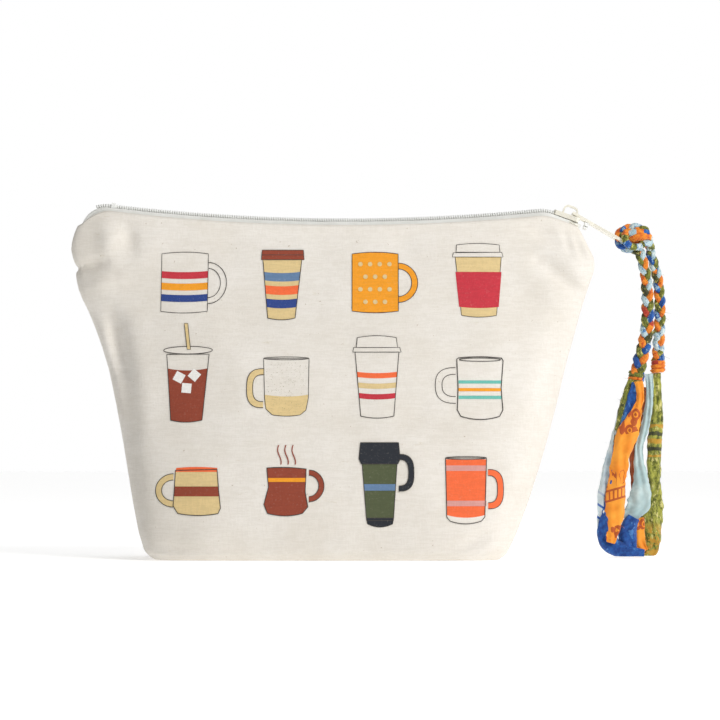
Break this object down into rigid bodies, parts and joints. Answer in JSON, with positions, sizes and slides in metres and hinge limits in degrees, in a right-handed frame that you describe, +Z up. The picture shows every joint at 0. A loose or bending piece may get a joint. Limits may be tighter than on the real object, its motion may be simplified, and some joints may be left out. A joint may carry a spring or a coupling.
{
  "type": "zippered pouch",
  "caption": "Boxed-bottom canvas pouch with a coil zipper along the top and a plaited cloth wristlet hitched to the zipper pull.",
  "frame": {"origin": "centre of the flat base, on the surface that the pouch stands on", "axes": "+X towards the closed end of the zipper and the wristlet, +Y to the back, +Z up"},
  "size_m": [0.273, 0.079, 0.1627],
  "materials": {
    "front_panel": "plain canvas weave",
    "back_panel": "plain canvas weave",
    "lining_front": "plain cotton",
    "lining_back": "plain cotton",
    "zipper_tape_front": "woven tape",
    "zipper_tape_back": "woven tape",
    "zipper_coil_front": "nylon coil",
    "zipper_coil_back": "nylon coil",
    "top_stops": "painted",
    "bottom_stop": "painted",
    "slider_body": "painted, light wear",
    "pull_tab": "painted, light wear",
    "wristlet_hitch": "folded cloth strip",
    "wristlet_braid_left": "plaited cloth",
    "wristlet_braid_right": "plaited cloth",
    "wrap_left": "wound cloth",
    "wrap_right": "wound cloth",
    "strip_orange": "printed cotton",
    "strip_blue": "cotton",
    "strip_pale": "striped cotton",
    "strip_rust": "cotton",
    "strip_aqua": "cotton",
    "strip_olive": "cotton"
  },
  "bodies": {
    "pouch": {"front_panel": "front_panel", "back_panel": "back_panel", "lining_front": "lining_front", "lining_back": "lining_back", "zipper_tape_front": "zipper_tape_front", "zipper_tape_back": "zipper_tape_back", "zipper_coil_front": "zipper_coil_front", "zipper_coil_back": "zipper_coil_back", "top_stops": "top_stops", "bottom_stop": "bottom_stop"},
    "slider": {"slider_body": "slider_body"},
    "pull": {"pull_tab": "pull_tab"},
    "wristlet": {"wristlet_hitch": "wristlet_hitch", "wristlet_braid_left": "wristlet_braid_left", "wristlet_braid_right": "wristlet_braid_right", "wrap_left": "wrap_left", "wrap_right": "wrap_right", "strip_orange": "strip_orange", "strip_blue": "strip_blue", "strip_pale": "strip_pale", "strip_rust": "strip_rust", "strip_aqua": "strip_aqua", "strip_olive": "strip_olive"}
  },
  "joints": [
    {"name": "slider_travel", "type": "slide", "parent": "pouch", "child": "slider", "axis": [-0.9998, 0, 0.0201], "range_m": [0, 0.199], "deforming": ["front_panel", "back_panel", "lining_front", "lining_back", "zipper_tape_front", "zipper_tape_back", "zipper_coil_front", "zipper_coil_back"]},
    {"name": "pull_swing", "type": "hinge", "parent": "slider", "child": "pull", "pos_m": [0.11066, 0, 0.15787], "axis": [0, -1, 0], "range_deg": [0, 185]},
    {"name": "wristlet_swing", "type": "hinge", "parent": "pull", "child": "wristlet", "pos_m": [0.13508, 0, 0.14377], "axis": [0, -1, 0], "range_deg": [-10, 120], "deforming": ["wristlet_hitch", "wristlet_braid_left", "wristlet_braid_right", "wrap_left", "wrap_right", "strip_orange", "strip_blue", "strip_pale", "strip_rust", "strip_aqua", "strip_olive"]}
  ]
}
